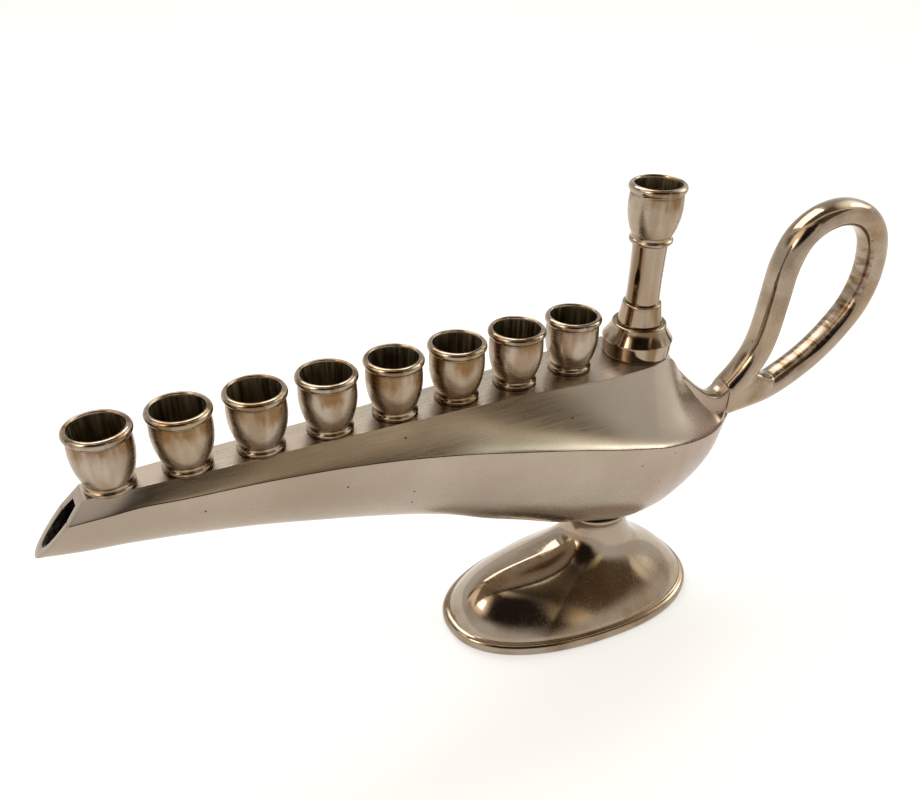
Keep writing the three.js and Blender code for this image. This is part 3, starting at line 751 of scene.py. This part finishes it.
def cup_profile(bolt_radius):
    """A candle cup bored for a bolt. Bands: 0 brushed, 1 polished, 2 bore."""
    rim_r, height = 9.0, 18.4
    rim_low = height - 2.66
    floor_z, recess_r, recess_z = 4.4, 3.2, 2.0
    hole_r = (bolt_radius + hole_clearance) / mm
    rows = [(hole_r, 0, 1), (6.4, 0, 1)]
    rows += arc(6.1, 0.83, 0.83, -80, 78, 9, 1)
    rows += [(6.28, 1.78, 1), (6.2, 2.05, 1), (6.22, 2.35, 0)]
    rows += swept(((6.22, 2.35), (6.9, 3.4), (8.15, 6.6), (8.42, 10.4)), 15, 0)
    rows += swept(((8.42, 10.4), (8.5, 12.2), (8.38, 14.2), (8.22, rim_low - 0.25)), 8, 0)
    rows += [(8.12, rim_low - 0.12, 1), (8.12, rim_low + 0.02, 1), (8.45, rim_low + 0.08, 1)]
    rows += arc(rim_r - 1.25, rim_low + 1.33, 1.25, -62, 84, 14, 1)
    rows += [(7.55, height - 0.06, 1), (7.32, height - 0.3, 1)]
    rows += [(7.2, height - 0.8, 2), (7.14, height - 1.4, 2), (6.9, 11, 2)]
    rows += [(6.6, floor_z + 0.2, 2), (6.4, floor_z, 2), (recess_r + 0.2, floor_z, 2)]
    rows += [(recess_r, floor_z - 0.1, 2), (recess_r, recess_z, 2), (hole_r, recess_z, 2)]
    return rows


def seat_turned(piece, node):
    """Stands a turned piece where its CAD node stands."""
    low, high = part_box(node)
    piece.location = ((low.x + high.x) / 2, 0, low.z)
    stands_for(piece, node)


def make_cups():
    for i in range(len(cup_boxes)):
        profile = cup_profile(cup_screw_radius)
        cup = turned(f"turned_cup_{i + 1}", profile, [turned_brushed, turned_bright, bore_dark])
        seat_turned(cup, f"candle_cup_{i + 1}")


def make_shamash():
    hole_r = (shamash_bolt_radius + hole_clearance) / mm
    base = [(hole_r, 0, 1), (10.9, 0, 1)]
    base += arc(10.55, 0.7, 0.7, -70, 0, 6, 1)
    base += [(11.3, 1.6, 1), (11.42, 3.2, 1), (11.52, 4.6, 1), (11.58, 5.0, 1)]
    base += [(11.55, 5.25, 1), (11.42, 5.5, 1)]
    base += swept(((11.42, 5.5), (10.9, 6.2), (9.5, 8.0), (8.95, 9.6)), 11, 1)
    base += [(8.88, 10.2, 1), (8.7, 10.45, 1), (8.45, 10.5, 1), (hole_r, 10.5, 1)]
    seat_turned(turned("turned_shamash_base", base, [turned_brushed, turned_bright], 144), "shamash_base")

    collar = [(hole_r, 0, 1), (7.0, 0, 1), (7.2, 0.2, 1), (7.18, 0.7, 1), (6.9, 2.6, 1), (6.45, 5.4, 1)]
    collar += [(6.3, 6.6, 1), (6.15, 6.9, 1), (5.9, 7.0, 1), (hole_r, 7.0, 1)]
    seat_turned(turned("turned_shamash_collar", collar, [turned_brushed, turned_bright]), "shamash_collar")

    low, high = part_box("shamash_stem")
    top = (high.z - low.z) / mm
    stem = [(hole_r, 0, 0), (5.4, 0, 0), (5.5, 0.15, 0)]
    stem += swept(((5.5, 0.15), (5.3, 5), (5.3, 12), (5.55, top - 1.2)), 13, 0)
    stem += [(5.6, top - 0.5, 0), (5.55, top, 0), (hole_r, top, 0)]
    seat_turned(turned("turned_shamash_stem", stem, [turned_bright]), "shamash_stem")

    profile = cup_profile(shamash_bolt_radius)
    cup = turned("turned_shamash_cup", profile, [turned_brushed, turned_bright, bore_dark])
    seat_turned(cup, "shamash_cup")


# ---- handle ----
LOOP_POINTS = [
    [2, 8.8], [8.6, 15], [13.2, 21.4], [15.7, 28.6], [17.3, 41.4], [18.9, 55.2], [23, 63.8], [30.8, 68.8],
    [42, 70.2], [53, 66.6], [61, 58.2], [63.8, 44.6], [60.6, 32.4], [51.4, 21.4], [41.6, 14], [30.2, 8.4],
    [20.4, 5.4], [2, 4],
]
STRAP_THICKNESS = 9.4 * mm
STRAP_ROUNDNESS = 0.86
HANDLE_HALF = handle_depth / 2 + 0.8 * mm   # the fine handle is rounder than the CAD one
WEB_LENGTH = 27 * mm
WEB_ROUNDNESS = 0.7


def loop_strap():
    """The strap swept along the teardrop loop, from the stern's face back to it."""
    path = catmull_rom(LOOP_POINTS, 260) * mm
    tangent = np.gradient(path, axis=0)
    tangent /= np.linalg.norm(tangent, axis=1)[:, None]
    normal = np.stack([-tangent[:, 1], tangent[:, 0]], 1)
    turn = (np.arange(64) + 0.5) / 64 * 2 * math.pi
    side = bulged(np.cos(turn), STRAP_ROUNDNESS) * HANDLE_HALF
    out = bulged(np.sin(turn), STRAP_ROUNDNESS) * STRAP_THICKNESS / 2
    rings = []
    for p, n in zip(path, normal):
        rings.append(np.stack([stern_face_x + p[0] + n[0] * out, side, root_bottom_z + p[1] + n[1] * out], 1))
    return closed_loft(rings)


def root_web():
    """The solid metal between the two ends of the strap, tapered to nothing at the bottom of the eye."""
    turn = circle(48)
    rings = []
    for t in np.linspace(0, 1, 24):
        low = root_bottom_z + mix(0.2, 2.4, t) * mm
        high = mix(root_top_z, root_bottom_z + 14.6 * mm, ease(t / 0.4)) - 3.6 * mm * ease((t - 0.52) / 0.33)
        half = HANDLE_HALF * mix(0.94, 1, ease(t * 3)) * mix(1, 0.4, ease((t - 0.75) / 0.25))
        y = half * bulged(np.cos(turn), WEB_ROUNDNESS)
        z = mix(low, high, 0.5 + 0.5 * bulged(np.sin(turn), WEB_ROUNDNESS))
        rings.append(np.stack([np.full(len(turn), stern_face_x + WEB_LENGTH * t), y, z], 1))
    return closed_loft(rings)


def cast_as_one(points, faces):
    """The overlapping solids merged into one skin, with every inner corner rounded as in a casting."""
    rough = new_piece("handle_rough", points, faces, [polished])
    remesh = rough.modifiers.new("remesh", "REMESH")
    remesh.mode = "VOXEL"
    remesh.voxel_size = 0.42 * mm
    blur = rough.modifiers.new("smooth", "SMOOTH")
    blur.factor = 0.5
    blur.iterations = 20
    evaluated = rough.evaluated_get(bpy.context.evaluated_depsgraph_get())
    mesh = bpy.data.meshes.new_from_object(evaluated)
    bpy.data.objects.remove(rough)
    mesh.polygons.foreach_set("use_smooth", np.ones(len(mesh.polygons), bool))
    return mesh


def fit_between(mesh, low_x, high_x):
    """Trims the mesh at low_x, and draws it in along X if it reaches past high_x."""
    co = np.zeros(len(mesh.vertices) * 3)
    mesh.vertices.foreach_get("co", co)
    co = co.reshape(-1, 3)
    co[:, 0] = np.maximum(co[:, 0], low_x)
    fit = (high_x - low_x) / (co[:, 0].max() - low_x)
    co[:, 0] = low_x + (co[:, 0] - low_x) * min(1, fit)
    mesh.vertices.foreach_set("co", co.ravel())
    mesh.update()


def mark_filed_faces(mesh, index):
    """Gives a material to the faces that look into the eye from its lower and outer side."""
    root = Vector((stern_face_x, 0, root_bottom_z))
    eye = Vector((38 * mm, 0, 40 * mm))   # the middle of the eye, from the root
    for face in mesh.polygons:
        place = face.center - root
        low_side = place.x > 15 * mm and place.z < 55 * mm
        outer_side = low_side and place.x > place.z * 0.6
        if outer_side and face.normal.dot((eye - place).normalized()) > 0.6:
            face.material_index = index


def make_handle():
    points, faces = joined(loop_strap(), root_web())
    mesh = cast_as_one(points, faces)
    fit_between(mesh, stern_face_x, handle_high.x - 0.02 * mm)
    mesh.materials.clear()
    mesh.materials.append(polished)
    mesh.materials.append(filed)
    mark_filed_faces(mesh, 1)
    handle = bpy.data.objects.new("handle_casting", mesh)
    bpy.context.scene.collection.objects.link(handle)
    stands_for(handle, "handle")


# ---- foot ----
foot_rx = (foot_high.x - foot_low.x) / 2
foot_x = (foot_low.x + foot_high.x) / 2
FOOT_EGG = 0.09
FOOT_WIDTH = 60.38 * mm
FOOT_LIP = 4.6 * mm
FOOT_STEP = 2.6 * mm
FOOT_ROUNDNESS = 0.88


def egg(angle, inset):
    """The foot's egg-shaped outline, wider towards the handle, pulled in by an inset."""
    c = bulged(np.cos(angle), FOOT_ROUNDNESS)
    n = bulged(np.sin(angle), FOOT_ROUNDNESS)
    return foot_x + (foot_rx - inset) * c, (FOOT_WIDTH / 2 * (1 + FOOT_EGG * c) - inset) * n


def foot_ring(s, angle, inset=0.0):
    """A ring of the foot's slope, from the neck (s = 0) to the lip (s = 1), with a ridge down its front."""
    side = bezier((0, 1), (0.08, 0.5), (0.6, 0.46), (1, 0), [s])[0]
    toe = bezier((0, 1), (0.02, 0.3), (0.86, 0.98), (1, 0), [s])[0]
    off = np.abs(np.angle(np.exp(1j * (angle - math.pi))))
    round_front = np.clip(-np.cos(angle), 0, 1) ** 2
    ridge_width = 1.1
    ridge = np.clip(1 - off / ridge_width, 0, 1) ** 1.05
    front = mix(round_front, ridge, 0.75 * ease(s * 3))
    p = side[None, :] + (toe - side)[None, :] * front[:, None]
    x, y = egg(angle, FOOT_STEP + inset)
    ring_x = mix(neck_x + (neck_half[0] - inset) * np.cos(angle), x, p[:, 0])
    ring_y = mix((neck_half[1] - inset) * np.sin(angle), y, p[:, 0])
    ring_z = mix(FOOT_LIP + 1 * mm, seat_z, p[:, 1])
    return np.stack([ring_x, ring_y, ring_z - (wall if inset > 0 else 0)], 1)


def make_foot():
    angle = circle(288)
    lip = [(1.5, 0), (0.95, 0.12), (0.48, 0.42), (0.18, 0.9), (0.03, 1.5), (0, 2.2), (0.06, 2.9), (0.27, 3.5),
           (0.62, 4.0), (1.1, 4.32), (1.65, 4.5), (2.05, 4.56), (2.3, 4.66), (2.45, 4.86), (2.55, 5.1)]
    under = [(6, 0.2), (4.6, 0.05), (3.2, 0), (2.2, 0)]
    rings = [foot_ring(s, angle, wall) for s in np.linspace(0.1, 0.98, 14)]
    for inset, z in [(5.2, 2.4), *under, *lip]:
        x, y = egg(angle, inset * mm)
        rings.append(np.stack([x, y, np.full(len(angle), z * mm)], 1))
    rings += [foot_ring(s, angle) for s in np.linspace(1, 0, 70)]
    rings[-1] = rings[-1] - np.array([0, 0, 0.12 * mm])
    neck = foot_ring(0, angle)
    neck_middle = np.array([neck_x, 0, seat_z])
    for share in (0, 0.015, 0.15):   # close rings keep the neck's edge crisp
        rings.append(neck + (neck_middle - neck) * share)
    points, faces = closed_loft(rings)
    foot = new_piece("foot_casting", points, faces, [polished])
    stands_for(foot, "foot")


def finish_fasteners():
    """The screws, bolts, washers and nuts keep their CAD shapes and get a steel finish."""
    fasteners = [f"cup_screw_{i + 1}" for i in range(len(cup_boxes))]
    fasteners += ["shamash_bolt", "shamash_washer", "shamash_nut", "foot_bolt", "foot_washer", "foot_nut"]
    fasteners += ["handle_screw", "handle_washer"]
    for node in fasteners:
        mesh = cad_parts[node].data
        mesh.materials.clear()
        mesh.materials.append(steel)


make_hull()
make_deck()
make_cups()
make_shamash()
make_handle()
make_foot()
finish_fasteners()


# ---- studio ----
def make_floor():
    reach = 6.0
    corners = [(-reach, -reach, 0), (reach, -reach, 0), (reach, reach, 0), (-reach, reach, 0)]
    floor = new_piece("floor", corners, [(0, 1, 2, 3)], [])
    m = Nodes("floor_paper", metallic=0.0)
    tone = m.noise(m.scaled((3, 3, 3), "World"), detail=2)
    colour = m.blend(tone, (0.46, 0.455, 0.45), (0.5, 0.495, 0.49))
    grain = m.noise(m.scaled((500, 500, 500), "World"), detail=3)
    m.shader.inputs["Emission Color"].default_value = (1, 0.99, 0.98, 1)
    m.shader.inputs["Emission Strength"].default_value = 0.6
    floor.data.materials.append(m.finish(colour, 0.7, m.bump(grain, 0.05, 0.1 * mm)))


def soft_light(name, place, aim, size, power, colour):
    data = bpy.data.lights.new(name, "AREA")
    data.shape = "RECTANGLE"
    data.size, data.size_y = size
    data.energy = power
    data.color = colour
    light = bpy.data.objects.new(name, data)
    bpy.context.scene.collection.objects.link(light)
    light.location = place
    light.rotation_euler = (Vector(aim) - Vector(place)).to_track_quat("-Z", "Y").to_euler()


def make_world():
    """A plain studio: pale up to above the horizon, dim overhead, with soft bright patches and two strips."""
    world = bpy.data.worlds.new("studio")
    bpy.context.scene.world = world
    world.use_nodes = True
    tree = world.node_tree
    background = next(n for n in tree.nodes if n.type == "BACKGROUND")
    coordinates = tree.nodes.new("ShaderNodeTexCoord")

    def toward(direction):
        """The cosine of the angle to a direction."""
        dot = tree.nodes.new("ShaderNodeVectorMath")
        dot.operation = "DOT_PRODUCT"
        tree.links.new(coordinates.outputs["Generated"], dot.inputs[0])
        dot.inputs[1].default_value = Vector(direction).normalized()
        return dot.outputs["Value"]

    def smooth_step(value, zero_at, one_at):
        step = tree.nodes.new("ShaderNodeMapRange")
        step.interpolation_type = "SMOOTHSTEP"
        tree.links.new(value, step.inputs["Value"])
        step.inputs["From Min"].default_value = zero_at
        step.inputs["From Max"].default_value = one_at
        return step.outputs["Result"]

    def facing(direction, narrow, wide):
        """1 within the narrow angle of a direction, falling to 0 at the wide one, in degrees."""
        return smooth_step(toward(direction), math.cos(math.radians(wide)), math.cos(math.radians(narrow)))

    def strip(normal, width):
        """1 along the great circle square to a direction, falling to 0 at a width in degrees from it."""
        away = tree.nodes.new("ShaderNodeMath")
        away.operation = "ABSOLUTE"
        tree.links.new(toward(normal), away.inputs[0])
        core = 0.35 * width
        return smooth_step(away.outputs[0], math.sin(math.radians(width)), math.sin(math.radians(core)))

    def over(below, colour, factor):
        node = tree.nodes.new("ShaderNodeMix")
        node.data_type = "RGBA"
        tree.links.new(factor, node.inputs["Factor"])
        for name, value in (("A", below), ("B", colour)):
            if hasattr(value, "is_output"):
                tree.links.new(value, node.inputs[name])
            else:
                node.inputs[name].default_value = (*value, 1)
        return node.outputs["Result"]

    colour = (0.17, 0.128, 0.078)
    for tone, share in (
        ((1.3, 1.14, 0.86), strip((0.86, 0.36, 0.25), 6)),
        ((1.3, 1.15, 0.9), strip((0.45, 0.9, 0.15), 5)),
        ((0.66, 0.65, 0.62), facing((0.15, 1, 0.35), 26, 62)),
        ((2.2, 2.3, 2.1), facing((1, 0.05, 0.55), 10, 34)),
        ((1.9, 1.6, 1.25), facing((-1, 0, 0.95), 12, 30)),
        ((0.03, 0.022, 0.018), facing((-0.3, -0.75, 0.72), 18, 36)),
    ):
        colour = over(colour, tone, share)
    overhead = facing((0, 0, 1), 62, 76)
    colour = over((0.86, 0.85, 0.84), colour, overhead)
    tree.links.new(colour, background.inputs["Color"])
    background.inputs["Strength"].default_value = 1.0


make_floor()
make_world()
soft_light("top_light", (0.1, 0.7, 1.1), (0, 0, 0), (0.9, 0.6), 7, (1.0, 0.995, 0.985))
soft_light("right_light", (0.75, -0.05, 0.45), (0, 0, 0.06), (0.3, 0.3), 0.7, (1.0, 1.0, 0.97))
soft_light("left_light", (-0.75, -0.15, 0.7), (0, 0, 0.05), (0.25, 0.3), 0.9, (1.0, 0.96, 0.9))
bpy.context.scene.view_settings.view_transform = "Standard"
